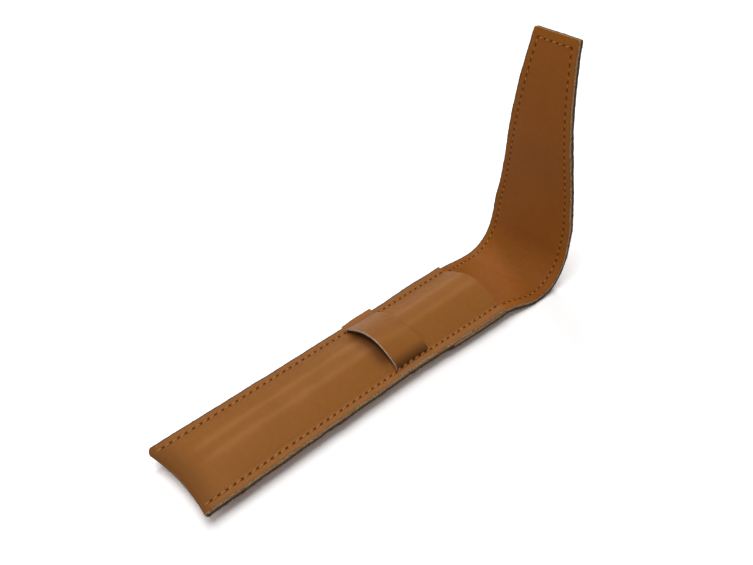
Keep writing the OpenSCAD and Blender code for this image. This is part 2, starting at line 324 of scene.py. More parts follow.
def strayed(x, y, w):
    # how far a point moves across the strip; y runs on over the mouth as if the flap lay flat
    margin = smooth((abs(x) - w + seam["margin"]) / seam["margin"])
    if x < 0:
        rise = smooth((y - stray["leftStart"]) / stray["leftReach"])
        return -stray["left"] * margin * rise * (1 - smooth((y - mouthY) / stray["leftFade"]))
    rise = smooth((y - stray["start"]) / (mouthY - stray["start"]))
    bend = 1 - smooth((y - stray["holdTo"]) / (stray["end"] - stray["holdTo"]))
    whole = mix(stray["flap"], stray["seam"], bend) * smooth(x / (w - seam["margin"]))
    return rise * (whole + stray["edge"] * bend * margin)


def wobble(place, size, seed):
    return noise.noise(Vector((place[0] / size, place[1] / size, place[2] / size + seed)))


def edgeShift(place, x, e, cut):
    # a hand-cut edge is trimmed a little and wanders: how far the point moves outwards
    near = smooth(1 - e / seam["margin"])
    wander = wobble(place, cut["waveSize"], cut["seed"]) * cut["wave"] * near
    return math.copysign(1, x) * (wander - cut["trim"] * near)


# Sheets of leather
marginColumns = [0, 0.35, 0.9, 1.6, 2.2, 2.6, 3, 3.4, 3.75, 4.1, 4.5, 4.9, 5.4, 6.1]
middleColumns = 10
grainFace, fleshFace, cutFace, shadedEdgeFace = range(4)    # the order of the finishes on a piece of leather
rawEdge = {
    "round": 0.16,
    "rough": 0.12,
    "fibreSize": 0.55,
    "tuftSize": 2.6,
    "sharpAngle": 38,
}
cutReach = 4    # how near a cut's points lie to the flap's middle line, and to the cut's plane
cutSlack = 0.01


def spread(start, end, step):
    n = max(1, round(abs(end - start) / step))
    return [mix(start, end, i / n) for i in range(n + 1)]


def columnPlaces(w):
    # distances from the middle of the leather, closer together near the seam
    right = [w - e for e in marginColumns]
    inner = w - marginColumns[-1]
    right += [inner * (1 - i / middleColumns) for i in range(1, middleColumns + 1)]
    return [-x for x in right[:-1]] + right[::-1]


columnCount = len(columnPlaces(1))


def setMode(mode):
    bpy.ops.object.mode_set(mode=mode)


def deselectAll():
    if bpy.context.object and bpy.context.object.mode == "EDIT":
        setMode("OBJECT")
    bpy.ops.object.select_all(action="DESELECT")


def cutLeather(name, rows, placeOf, thick, finishes, turnOver=False, skive=None):
    # A flat sheet first, one row of points for each station, then laid on its form.
    # placeOf gives for a row and a column: the formed place, the flat place and the seam place.
    # skive gives the share of the thickness that a column keeps, and the least share.
    deselectAll()
    bpy.ops.mesh.primitive_grid_add(x_subdivisions=columnCount - 1, y_subdivisions=len(rows) - 1, size=2)
    piece = bpy.context.object
    piece.name = name
    piece.data.name = name
    mesh = piece.data
    flatMap = mesh.uv_layers[0]
    flatMap.name = "flat"
    seamMap = mesh.uv_layers.new(name="seam")
    formed = [None] * len(mesh.vertices)
    columnOf = [0] * len(mesh.vertices)
    for v in mesh.vertices:
        i = round((v.co.x + 1) / 2 * (columnCount - 1))
        j = round((v.co.y + 1) / 2 * (len(rows) - 1))
        columnOf[v.index] = i
        formed[v.index] = placeOf(rows[j], i)
    for corner in mesh.loops:
        _, flatAt, seamAt = formed[corner.vertex_index]
        flatMap.data[corner.index].uv = flatAt
        seamMap.data[corner.index].uv = seamAt
    for v in mesh.vertices:
        v.co = formed[v.index][0] * mm
    for finish in finishes:
        mesh.materials.append(finish)
    if turnOver:
        setMode("EDIT")
        bpy.ops.mesh.select_all(action="SELECT")
        bpy.ops.mesh.flip_normals()
        setMode("OBJECT")
    wall = piece.modifiers.new("thickness", "SOLIDIFY")
    wall.thickness = thick * mm
    wall.offset = -1
    wall.use_even_offset = True
    wall.material_offset = fleshFace
    wall.material_offset_rim = cutFace
    if skive:
        shareAt, least = skive
        full = piece.vertex_groups.new(name="full")
        for v in mesh.vertices:
            full.add([v.index], (shareAt(columnOf[v.index]) - least) / (1 - least), "REPLACE")
        wall.vertex_group = full.name
        wall.thickness_vertex_group = least
    bpy.ops.object.modifier_apply(modifier=wall.name)
    return piece


def onCut(co, cutRuns):
    for s in cutRuns:
        y, z, slope = flapLine(s)
        away = (co.y / mm - y) * math.cos(slope) + (co.z / mm - z) * math.sin(slope)
        near = math.hypot(co.y / mm - y, co.z / mm - z) < cutReach
        if near and abs(away) < cutSlack:
            return True
    return False


def finishEdges(piece, cutRuns, edge=rawEdge):
    # rounds the raw edges a little and roughens them; cutRuns are ends that meet the next piece
    deselectAll()
    piece.select_set(True)
    bpy.context.view_layer.objects.active = piece
    setMode("EDIT")
    bpy.ops.mesh.select_mode(type="EDGE")
    bpy.ops.mesh.select_all(action="DESELECT")
    bm = bmesh.from_edit_mesh(piece.data)
    for line in bm.edges:
        kinds = {f.material_index for f in line.link_faces}
        if cutFace in kinds and len(kinds) == 2:
            line.select = not all(onCut(v.co, cutRuns) for v in line.verts)
    bmesh.update_edit_mesh(piece.data)
    bpy.ops.mesh.bevel(offset=edge["round"] * mm, segments=2, affect="EDGES", clamp_overlap=True)
    setMode("OBJECT")
    mesh = piece.data
    rim = set()
    for face in mesh.polygons:
        if face.material_index == cutFace:
            rim.update(face.vertices)
    rest = mesh.attributes.new("formed", "FLOAT_VECTOR", "POINT")
    for v in mesh.vertices:
        at = v.co / mm
        rest.data[v.index].vector = at
        if v.index in rim and not onCut(v.co, cutRuns):
            fibre = wobble(at, edge["fibreSize"], seed=7) * edge["rough"]
            tuft = wobble(at, edge["tuftSize"], seed=3) * edge["rough"]
            v.co += v.normal * (fibre + tuft) * mm
    bpy.ops.object.shade_smooth_by_angle(angle=math.radians(edge["sharpAngle"]))


# Nodes for the materials
def newNode(tree, kind, **values):
    node = tree.nodes.new("ShaderNode" + kind)
    for key, value in values.items():
        if key == "inputs":
            for name, number in value.items():
                node.inputs[name].default_value = number
        else:
            setattr(node, key, value)
    return node


def mathNode(tree, operation, a, b=None, c=None):
    node = newNode(tree, "Math", operation=operation)
    for i, value in enumerate((a, b, c)):
        if value is None:
            continue
        if isinstance(value, (int, float)):
            node.inputs[i].default_value = value
        else:
            tree.links.new(value, node.inputs[i])
    return node.outputs[0]


def distanceFrom(tree, value, place):
    return mathNode(tree, "ABSOLUTE", mathNode(tree, "SUBTRACT", value, place))


def rampNode(tree, value, low, high, start=0.0, end=1.0):
    limits = {"From Min": low, "From Max": high, "To Min": start, "To Max": end}
    node = newNode(tree, "MapRange", interpolation_type="SMOOTHSTEP", inputs=limits)
    tree.links.new(value, node.inputs["Value"])
    return node.outputs["Result"]


def noiseNode(tree, vector, **inputs):
    node = newNode(tree, "TexNoise", inputs=inputs)
    tree.links.new(vector, node.inputs["Vector"])
    return node


def cellNode(tree, vector, feature, **inputs):
    node = newNode(tree, "TexVoronoi", feature=feature, inputs=inputs)
    tree.links.new(vector, node.inputs["Vector"])
    return node


def splitVector(tree, vector):
    node = newNode(tree, "SeparateXYZ")
    tree.links.new(vector, node.inputs[0])
    return node.outputs[0], node.outputs[1]


def mixColor(tree, share, a, b):
    # on a colour mix, socket 0 is the factor, 6 and 7 are the colours and output 2 is the result
    node = newNode(tree, "Mix", data_type="RGBA")
    for socket, value in ((node.inputs[0], share), (node.inputs[6], a), (node.inputs[7], b)):
        if isinstance(value, (int, float, tuple)):
            socket.default_value = value
        else:
            tree.links.new(value, socket)
    return node.outputs[2]


def tint(tree, color, mask, share, other):
    # lays the other colour on where the mask says, at a share of its strength
    return mixColor(tree, mathNode(tree, "MULTIPLY", mask, share), color, other)


def newGroup(name, vectors, numbers, outputs):
    tree = bpy.data.node_groups.new(name, "ShaderNodeTree")
    newSocket = tree.interface.new_socket
    for label in vectors:
        newSocket(name=label, in_out="INPUT", socket_type="NodeSocketVector")
    for label, value in numbers.items():
        newSocket(name=label, in_out="INPUT", socket_type="NodeSocketFloat").default_value = value
    for label in outputs:
        newSocket(name=label, in_out="OUTPUT", socket_type="NodeSocketFloat")
    return tree, tree.nodes.new("NodeGroupInput").outputs, tree.nodes.new("NodeGroupOutput").inputs


def placeGroup(tree, group, vectors, **values):
    node = newNode(tree, "Group", node_tree=group)
    for label, socket in vectors.items():
        tree.links.new(socket, node.inputs[label])
    for label, value in values.items():
        node.inputs[label].default_value = value
    return node.outputs


# Places along the strip, laid flat: the front's mouth edge is 0 and the flap's tip is the far end
foldRun = pocket["length"]
backRun = foldRun + 5    # the fold takes 5 of the strip
flapRun = backRun + pocket["length"]
tipRun = flapRun + flap["length"]

# How the stitch holes and the pressed seam look, in millimetres but for rowStart and holeRim
seamMarks = {
    "rowStart": -0.7,    # the side rows begin here, counted in stitches
    "tipRowHalf": 8.2,
    "holeRim": (0.75, 1.35),   # where a hole starts and stops fading, as shares of its size
    "pressLine": (0.25, 1.1),
    "marginFadeOut": 0.7,    # how far the margin's own colour fades outside and inside the seam
    "marginFadeIn": 0.3,
}


def makeGrainGroup():
    # fine pebbled grain with pores, and broad uneven colour; coordinates in millimetres
    outputs = ["Height", "Mottle", "Cloud"]
    tree, given, out = newGroup("leatherGrain", ["Vector"], {"Cells": 2.2}, outputs)
    link = tree.links.new
    at = given["Vector"]
    warp = noiseNode(tree, at, Scale=0.9, Detail=2)
    shifted = newNode(tree, "VectorMath", operation="MULTIPLY_ADD", inputs={1: (0.5, 0.5, 0.5)})
    link(warp.outputs["Color"], shifted.inputs[0])
    link(at, shifted.inputs[2])
    cells = cellNode(tree, shifted.outputs[0], "DISTANCE_TO_EDGE")
    link(given["Cells"], cells.inputs["Scale"])
    pores = cellNode(tree, shifted.outputs[0], "F1", Scale=1.3)
    fine = noiseNode(tree, at, Scale=5, Detail=3)
    body = rampNode(tree, cells.outputs["Distance"], 0, 0.22)
    dots = rampNode(tree, pores.outputs["Distance"], 0.05, 0.2)
    height = mathNode(tree, "MULTIPLY_ADD", fine.outputs[0], 0.5, body)
    link(mathNode(tree, "MULTIPLY_ADD", dots, 0.6, height), out["Height"])
    patch = noiseNode(tree, at, Scale=0.45, Detail=5, Roughness=0.6)
    link(rampNode(tree, patch.outputs[0], 0.3, 0.7), out["Mottle"])
    cloud = noiseNode(tree, at, Scale=0.045, Detail=3)
    link(rampNode(tree, cloud.outputs[0], 0.3, 0.7), out["Cloud"])
    return tree


def makeHoleGroup():
    # stitch holes along the side seams and across the tip, and the pressed line of the seam
    outputs = ["Hole", "Press", "Margin"]
    tree, given, out = newGroup("stitchHoles", ["Seam", "Flat"], {"Size": 0.42}, outputs)
    link = tree.links.new
    edge, stitch = splitVector(tree, given["Seam"])
    across, run = splitVector(tree, given["Flat"])

    def holes(off, along):
        phase = mathNode(tree, "SUBTRACT", mathNode(tree, "FRACT", along), 0.5)
        phase = mathNode(tree, "MULTIPLY", phase, seam["pitch"] * 0.5)
        square = mathNode(tree, "MULTIPLY", off, off)
        away = mathNode(tree, "SQRT", mathNode(tree, "MULTIPLY_ADD", phase, phase, square))
        return rampNode(tree, mathNode(tree, "DIVIDE", away, given["Size"]), *seamMarks["holeRim"], 1, 0)

    sideOff = mathNode(tree, "SUBTRACT", edge, seam["margin"])
    started = mathNode(tree, "GREATER_THAN", stitch, seamMarks["rowStart"])
    sideHole = mathNode(tree, "MULTIPLY", holes(sideOff, stitch), started)
    tipOff = mathNode(tree, "SUBTRACT", run, tipRun - seam["margin"])
    inside = mathNode(tree, "LESS_THAN", mathNode(tree, "ABSOLUTE", across), seamMarks["tipRowHalf"])
    tipHole = holes(tipOff, mathNode(tree, "DIVIDE", across, seam["pitch"]))
    tipHole = mathNode(tree, "MULTIPLY", tipHole, inside)
    link(mathNode(tree, "MAXIMUM", sideHole, tipHole), out["Hole"])
    sidePress = rampNode(tree, mathNode(tree, "ABSOLUTE", sideOff), *seamMarks["pressLine"], 1, 0)
    tipPress = rampNode(tree, mathNode(tree, "ABSOLUTE", tipOff), *seamMarks["pressLine"], 1, 0)
    tipPress = mathNode(tree, "MULTIPLY", tipPress, inside)
    link(mathNode(tree, "MAXIMUM", sidePress, tipPress), out["Press"])
    fadeOut, fadeIn = seamMarks["marginFadeOut"], seamMarks["marginFadeIn"]
    sideMargin = rampNode(tree, edge, seam["margin"] - fadeOut, seam["margin"] + fadeIn, 1, 0)
    tipMargin = rampNode(tree, tipOff, -fadeIn, fadeOut)
    link(mathNode(tree, "MAXIMUM", sideMargin, tipMargin), out["Margin"])
    return tree


def makeCreaseGroup():
    # short wrinkles across the strip, strongest round one place along it
    numbers = {"Centre": 320, "Reach": 20}
    tree, given, out = newGroup("bendCreases", ["Vector"], numbers, ["Crease"])
    link = tree.links.new
    stretch = newNode(tree, "VectorMath", operation="MULTIPLY", inputs={1: (0.16, 1.0, 1.0)})
    link(given["Vector"], stretch.inputs[0])
    lines = noiseNode(tree, stretch.outputs[0], Scale=0.75, Detail=4, Distortion=0.7)
    away = distanceFrom(tree, splitVector(tree, given["Vector"])[1], given["Centre"])
    near = rampNode(tree, mathNode(tree, "DIVIDE", away, given["Reach"]), 0.2, 1, 1, 0)
    valley = rampNode(tree, distanceFrom(tree, lines.outputs[0], 0.5), 0, 0.09, 1, 0)
    link(mathNode(tree, "MULTIPLY", valley, near), out["Crease"])
    return tree


def makeFibreGroup():
    # matted fibres of a raw cut or of the flesh side
    outputs = ["Height", "Tuft", "Speck"]
    tree, given, out = newGroup("rawFibre", ["Vector"], {"Scale": 2.5}, outputs)
    link = tree.links.new
    at = given["Vector"]
    base = noiseNode(tree, at, Detail=6, Roughness=0.7, Distortion=1.2)
    link(given["Scale"], base.inputs["Scale"])
    link(base.outputs[0], out["Height"])
    tufts = noiseNode(tree, at, Scale=1.1, Detail=4, Roughness=0.65)
    link(rampNode(tree, tufts.outputs[0], 0.4, 0.62), out["Tuft"])
    specks = cellNode(tree, at, "F1", Scale=1.8)
    link(rampNode(tree, specks.outputs["Distance"], 0.1, 0.32, 1, 0), out["Speck"])
    return tree


grainGroup = makeGrainGroup()
holeGroup = makeHoleGroup()
creaseGroup = makeCreaseGroup()
fibreGroup = makeFibreGroup()


# Materials
def newMaterial(name, look):
    material = bpy.data.materials.new(name)
    material.use_nodes = True
    tree = material.node_tree
    shader = tree.nodes["Principled BSDF"]
    shader.inputs["Roughness"].default_value = look["roughness"]
    shader.inputs["Specular IOR Level"].default_value = look["specular"]
    return material, tree, shader


def bumpNode(tree, shader, height, strength, distance):
    node = newNode(tree, "Bump", inputs={"Strength": strength, "Distance": distance * mm})
    tree.links.new(height, node.inputs["Height"])
    tree.links.new(node.outputs["Normal"], shader.inputs["Normal"])


def paintLightAndShade(tree, color, x, y, cloud, look):
    # paints light and shade into the colour: highlights along the front, shade on lines of the loop, the
    # loop's shadow and shade round the fold; x is across the strip and y along it, laid flat
    onFront = rampNode(tree, y, foldRun - look["paintedHighlightFade"][0], foldRun - look["paintedHighlightFade"][1], 1, 0)
    # painted highlights: lighter streaks where light reflects along the front's bulge
    for at, reach, share in look["paintedHighlights"]:
        away = mathNode(tree, "MULTIPLY_ADD", cloud, look["paintedHighlightDrift"], distanceFrom(tree, x, at))
        paintedHighlight = rampNode(tree, away, 0, reach, share, 0)
        color = tint(tree, color, paintedHighlight, onFront, look["paintedHighlightColor"])
    # painted shade on lines along the strip
    for at, reach, share in look["paintedShadeLines"]:
        paintedShadeLines = rampNode(tree, distanceFrom(tree, x, at), 0, reach, share, 0)
        color = mixColor(tree, paintedShadeLines, color, look["paintedShadeColor"])
    if look["loopShadow"]:
        color = paintLoopShadow(tree, color, x, y, look)
    # painted shade round the fold, where the strip turns under
    foldShade = distanceFrom(tree, y, (foldRun + backRun) / 2)
    foldShade = rampNode(tree, foldShade, *look["foldShadeReach"], look["foldShadeShare"], 0)
    return mixColor(tree, foldShade, color, look["paintedShadeColor"])


def paintLoopShadow(tree, color, x, y, look):
    # a painted shadow cast by the loop: a dark band on the front, before the loop's near edge and a little
    # way under it
    loopShadow = look["loopShadow"]
    along = mathNode(tree, "SUBTRACT", mouthY - loop["near"], y)
    before = rampNode(tree, along, -loopShadow["reach"], 0)
    under = rampNode(tree, along, *loopShadow["under"], loopShadow["share"], 0)
    inner = rampNode(tree, mathNode(tree, "ABSOLUTE", x), *loopShadow["across"], 1, 0)
    return tint(tree, color, mathNode(tree, "MULTIPLY", before, under), inner, look["paintedShadeColor"])


def paintEdge(tree, color, x, edge, look):
    # a dark line on the last half millimetre of the edge, stronger on the left than on the right
    dye = rampNode(tree, edge, *look["edgeReach"], look["edgeShare"], 0)
    side = rampNode(tree, x, *look["edgeMiddle"], 1, look["edgeRight"])
    return tint(tree, color, dye, side, look["edgeColor"])


def makeLeather(name, look):
    material, tree, shader = newMaterial(name, look)
    flat = newNode(tree, "UVMap", uv_map="flat").outputs[0]
    seamAt = newNode(tree, "UVMap", uv_map="seam").outputs[0]
    x, y = splitVector(tree, flat)
    edge, _ = splitVector(tree, seamAt)
    grain = placeGroup(tree, grainGroup, {"Vector": flat}, Cells=look["cells"])
    holes = placeGroup(tree, holeGroup, {"Seam": seamAt, "Flat": flat}, Size=look["holeSize"])
    crease = placeGroup(tree, creaseGroup, {"Vector": flat},
                        Centre=look["creaseAt"], Reach=look["creaseReach"])
    color = tint(tree, look["color"], grain["Cloud"], look["uneven"], look["deepColor"])
    color = tint(tree, color, grain["Mottle"], look["mottle"], look["deepColor"])
    color = paintLightAndShade(tree, color, x, y, grain["Cloud"], look)
    color = tint(tree, color, holes["Margin"], look["marginShare"], look["warmColor"])
    # painted shade along the pressed groove of the seam
    color = tint(tree, color, holes["Press"], look["pressShadeShare"], look["deepColor"])
    # painted shade in the valleys of the creases
    color = tint(tree, color, crease["Crease"], look["creaseShadeShare"], look["deepColor"])
    # the stitch holes are coloured dark: painted shade in the holes
    color = mixColor(tree, holes["Hole"], color, look["holeShadeColor"])
    color = paintEdge(tree, color, x, edge, look)
    tree.links.new(color, shader.inputs["Base Color"])
    smoothest = look["roughness"] - look["roughSpread"] / 2
    rough = mathNode(tree, "MULTIPLY_ADD", grain["Mottle"], look["roughSpread"], smoothest)
    tree.links.new(rough, shader.inputs["Roughness"])
    height = mathNode(tree, "MULTIPLY_ADD", holes["Hole"], -look["holeDepth"], grain["Height"])
    height = mathNode(tree, "MULTIPLY_ADD", crease["Crease"], -look["creaseDepth"], height)
    bumpNode(tree, shader, height, look["grainStrength"], look["grainDepth"])
    return material


def makeRaw(name, look):
    material, tree, shader = newMaterial(name, look)
    at = newNode(tree, "Attribute", attribute_name="formed").outputs["Vector"]
    fibre = placeGroup(tree, fibreGroup, {"Vector": at}, Scale=look["scale"])
    color = mixColor(tree, fibre["Tuft"], look["color"], look["deepColor"])
    color = tint(tree, color, fibre["Speck"], look["speck"], look["paleColor"])
    tree.links.new(color, shader.inputs["Base Color"])
    bumpNode(tree, shader, fibre["Height"], look["strength"], look["depth"])
    return material


def makeThread(name, look):
    # twisted strands, drawn as slanting bands round the thread
    material, tree, shader = newMaterial(name, look)
    flat = newNode(tree, "UVMap", uv_map="flat").outputs[0]
    around, along = splitVector(tree, flat)
    turn = mathNode(tree, "MULTIPLY_ADD", along, look["twist"], around)
    band = mathNode(tree, "SINE", mathNode(tree, "MULTIPLY", turn, look["strands"] * math.tau))
    band = mathNode(tree, "MULTIPLY_ADD", band, 0.5, 0.5)
    color = mixColor(tree, band, look["deepColor"], look["color"])
    tree.links.new(color, shader.inputs["Base Color"])
    bumpNode(tree, shader, band, look["strength"], look["depth"])
    return material


outerLook = {
    "color": (0.325, 0.124, 0.029, 1),
    "deepColor": (0.250, 0.091, 0.018, 1),
    "warmColor": (0.325, 0.124, 0.030, 1),
    "paintedHighlightColor": (0.400, 0.175, 0.050, 1),
    "paintedHighlights": [(-5.2, 3.6, 0.5), (2.2, 3.4, 0.45)],    # painted highlights, streaks of reflected light along the bulge: place, reach and share
    "paintedHighlightDrift": 1.2,
    "paintedHighlightFade": (18, 4),    # they end between these distances from the fold
    # the colour of the painted shade
    "paintedShadeColor": (0.110, 0.040, 0.012, 1),
    "paintedShadeLines": [],    # lines of painted shade: place, reach and share
    "foldShadeReach": (1, 15),
    "foldShadeShare": 0.45,
    # the loop's painted shadow on the front: share, reach before its edge, reach under it, and across
    "loopShadow": {"share": 0.8, "reach": 7, "under": (6, 10), "across": (8, 14)},
    "holeShadeColor": (0.100, 0.030, 0.004, 1),
    "edgeColor": (0.080, 0.060, 0.050, 1),
    "edgeShare": 0.8,
    "edgeReach": (0.3, 0.9),
    "edgeMiddle": (-2, 2),
    "edgeRight": 0.3,    # how much of that share the right edge has
    "uneven": 0.3,
    "mottle": 0.3,
    "marginShare": 0.5,
    "pressShadeShare": 0.4,
    "creaseShadeShare": 0.3,
    "roughness": 0.42,
    "roughSpread": 0.1,
    "specular": 0.045,
    "cells": 2.3,
    "holeSize": 0.48,
    "holeDepth": 1.5,
    "creaseAt": flapRun + 12,
    "creaseReach": 30,
    "creaseDepth": 1.6,
    "grainStrength": 0.25,
    "grainDepth": 0.06,
}
liningLook = {
    **outerLook,
    "color": (0.318, 0.102, 0.018, 1),
    "deepColor": (0.245, 0.076, 0.012, 1),
    "warmColor": (0.340, 0.112, 0.013, 1),
    "paintedHighlights": [],
    "loopShadow": None,
    "holeShadeColor": (0.105, 0.031, 0.004, 1),
    "holeSize": 0.34,
    "uneven": 0.2,
    "creaseAt": flapRun + 24,
    "creaseReach": 26,
    "grainStrength": 0.35,
}
loopLook = {
    **outerLook,
    "cells": 2.0,
    "creaseAt": -400,    # far off the loop, which has no creases
    "specular": 0.07,
    # a painted highlight along the loop's crown
    "paintedHighlights": [(3.8, 4.5, 0.35)],
    # painted shade on the loop's steep right flank, beside the seam
    "paintedShadeLines": [(15.6, 5.2, 0.8)],
    "loopShadow": None,
    "edgeShare": 0,
}
edgeLook = {
    "color": (0.500, 0.305, 0.150, 1),
    "deepColor": (0.230, 0.125, 0.052, 1),
    "paleColor": (0.950, 0.820, 0.650, 1),
    "roughness": 0.9,
    "specular": 0.1,
    "scale": 3.2,
    "speck": 0.9,
    "strength": 0.8,
    "depth": 0.25,
}
# a paler copy of the raw edge for the loop: painted light on its cut edges
litLoopEdgeLook = {**edgeLook, "color": (0.640, 0.530, 0.420, 1), "deepColor": (0.420, 0.310, 0.220, 1)}
# a darker copy of the raw edge: painted shade on the outer strip's lower layers, from its back on
shadedEdgeLook = {
    **edgeLook,
    "color": (0.110, 0.066, 0.034, 1),
    "deepColor": (0.060, 0.034, 0.018, 1),
    "paleColor": (0.300, 0.220, 0.140, 1),
}
fleshLook = {
    **edgeLook,
    "color": (0.300, 0.180, 0.090, 1),
    "deepColor": (0.230, 0.130, 0.060, 1),
    "paleColor": (0.360, 0.240, 0.130, 1),
    "speck": 0.4,
    "scale": 2.2,
    "strength": 0.5,
}
threadLook = {
    "color": (0.640, 0.315, 0.105, 1),
    "deepColor": (0.380, 0.160, 0.045, 1),
    "roughness": 0.6,
    "specular": 0.2,
    "twist": 1.4,
    "strands": 3,
    "strength": 0.6,
    "depth": 0.12,
}
outerLeather = makeLeather("outerLeather", outerLook)
liningLeather = makeLeather("liningLeather", liningLook)
loopLeather = makeLeather("loopLeather", loopLook)
cutEdge = makeRaw("cutEdge", edgeLook)
shadedEdge = makeRaw("shadedEdge", shadedEdgeLook)
litLoopEdge = makeRaw("litLoopEdge", litLoopEdgeLook)
fleshSide = makeRaw("fleshSide", fleshLook)
threadFinish = makeThread("thread", threadLook)
print("materials made")


# The outer strip: front, fold, back and flap in one length of leather
rowStep = seam["pitch"] / 5
foldStep = math.pi / 16
cutRowGap = 0.1    # rows lie close at a cut, so that the shading runs on over it
farFromSeam = 60    # the distance to the edge that is written where there is no seam
shadedEdgeRun = backRun - 2   # the raw edge has painted shade from here on, laid flat
outerCut = {"wave": 0.2, "waveSize": 7, "seed": 5, "trim": 0.1}


def outerStation(zone, at):
    # half the width, the place along the sleeve, and the place along the strip laid flat
    if zone == "flap":
        return flapWidth(at), mouthY + at, flapRun + at
    if zone == "fold":
        return pocketHalf, footY, mix(foldRun, backRun, at / math.pi)
    run = mouthY - at if zone == "front" else backRun + at - footY
    return pocketHalf, at, run


def outerForm(zone, at, x, e, press):
    if zone == "front":
        wave = wobble((x, at, 0), pocket["waveSize"], seed=11) * pocket["wave"]
        rise = wave * bump(x / pocket["waveHalf"])
        return frontPlace(x, at, pocket["thick"] - press - frontCrease(e) * fade(at) + rise)
    if zone == "fold":
        return foldPlace(x, at, pocket["thick"])
    if zone == "back":
        return backPlace(x, at, press)
    return flapPlace(x, at, press - flapHalf)


def meetFold(place, x, at):
    near = (at - footY) / pocket["foldZone"]
    place.y = at + foldStart(x) * (1 - near) ** 2
    corner = foldCorner(x)
    depth = place.y - footY
    if depth < corner:
        place.x *= 1 - roundOff(corner, corner - depth) / pocketHalf


def flatX(x, w):
    # where the point lies across the strip laid flat, whose sides are straight there
    return x * flap["halfWidth"] / max(w, pocketHalf)


def outerAt(row, i):
    zone, at = row
    w, y, run = outerStation(zone, at)
    x = columnPlaces(w)[i]
    e, k = w - abs(x), stitchIndex(y)
    if y < firstStitch - seam["length"] or (zone == "flap" and at > flap["length"] - seam["tipBare"]):
        e = farFromSeam
    place = outerForm(zone, at, x, e, seamPress(e, k))
    if zone in ("front", "back") and at < footY + pocket["foldZone"]:
        meetFold(place, x, at)
        k = stitchIndex(place.y)
    place.x += edgeShift(place, x, e, outerCut) + strayed(x, y, w)
    return place, (flatX(x, w), run), (e, k)


def flapRows(start, end):
    inner = spread(start + cutRowGap, end - cutRowGap, rowStep)
    return [("flap", s) for s in [start] + inner + [end]]


def stripLengths(pocketName, pocketRows, name):
    # the rows of each length of a strip, and the cuts where it meets its neighbours
    return {
        pocketName: (pocketRows + flapRows(0, cuts[1])[1:], [cuts[1]]),
        name + "BendLeather1": (flapRows(cuts[1], cuts[2]), [cuts[1], cuts[2]]),
        name + "BendLeather2": (flapRows(cuts[2], cuts[3]), [cuts[2], cuts[3]]),
        name + "FlapLeather": (flapRows(cuts[3], flapEnd), [cuts[3]]),
    }


frontRows = [("front", y) for y in spread(mouthY, footY, rowStep)]
foldRows = [("fold", a) for a in spread(0, math.pi, foldStep)][1:-1]
backRows = [("back", y) for y in spread(footY, mouthY, rowStep)]
outerStrip = stripLengths("outerPocketLeather", frontRows + foldRows + backRows, "outer")
outerFinishes = [outerLeather, fleshSide, cutEdge, shadedEdge]
outerPieces = []
for name, (rows, ends) in outerStrip.items():
    piece = cutLeather(name, rows, outerAt, pocket["thick"], outerFinishes, turnOver=True)
    finishEdges(piece, ends)
    for face in piece.data.polygons:
        run = piece.data.uv_layers["flat"].data[face.loop_start].uv[1]
        # painted shade: from the back on, the raw edge gets the darker copy
        if face.material_index == cutFace and run > shadedEdgeRun:
            face.material_index = shadedEdgeFace
    outerPieces.append(piece)
print("outer strip laid")


# The lining: from 30 mm inside the pocket to the flap's tip
liningCut = {"wave": 0.2, "waveSize": 6, "seed": 17, "trim": 0.12}
tuckStep = 1.5


def liningAt(row, i):
    _, at = row
    w = flapWidth(at) if at > 0 else pocketHalf
    x = columnPlaces(w)[i]
    e, k = w - abs(x), stitchIndex(mouthY + at)
    if at < 0 or at > flap["length"] - seam["tipBare"]:
        e = farFromSeam
    if at < 0:
        place = backPlace(x, mouthY + at, flapThick)
    else:
        place = flapPlace(x, at, flapHalf - seamPress(e, k))
    place.x += edgeShift(place, x, e, liningCut) + strayed(x, mouthY + at, w)
    return place, (flatX(x, w), flapRun + at), (e, k)


tuckRows = [("tuck", s) for s in spread(-lining["tuck"], 0, tuckStep)]
liningStrip = stripLengths("liningBaseLeather", tuckRows, "lining")
liningFinishes = [liningLeather, fleshSide, cutEdge]
liningPieces = []
for name, (rows, ends) in liningStrip.items():
    piece = cutLeather(name, rows, liningAt, lining["thick"], liningFinishes)
    finishEdges(piece, ends)
    liningPieces.append(piece)
print("lining laid")


# The keeper loop: it stands off the front at its near edge and hugs it at the far one
loopCut = {**rawEdge, "round": 0.14, "rough": 0.05}


def loopEnd(side, y):
    if side > 0:
        return loop["rightEnd"]
    into = loop["corner"] - (y - loop["near"])
    cut = roundOff(loop["corner"], into) if into > 0 else 0
    return mix(loop["nearEnd"], loop["leftEnd"], smooth((y - loop["near"]) / loop["endReach"])) - cut


def loopShare(x):
    # how much of its thickness the loop keeps over the front, 1 in the middle
    return mix(1, loop["thinEnd"], smooth((abs(x) - loop["thinFrom"]) / loop["thinReach"]))


def loopX(i, y):
    # a column's place across the loop, whose two ends reach out differently
    return columnPlaces(loopEnd(-1 if i < columnCount / 2 else 1, y))[i]


def loopLift(x, y):
    along = (y - loop["near"]) / (loop["far"] - loop["near"])
    shoulder = loop["right"] if x > 0 else loop["left"]
    crown = mix(loop["nearGap"], loop["farGap"], along)
    outward = smooth((abs(x) - loop["crownHalf"]) / loop["shoulderReach"])
    lift = mix(crown, mix(shoulder["near"], shoulder["far"], along), outward)
    return lift * max(0, 1 - (abs(x) / loop["seamHalf"]) ** shoulder["power"]) ** loop["liftPower"]


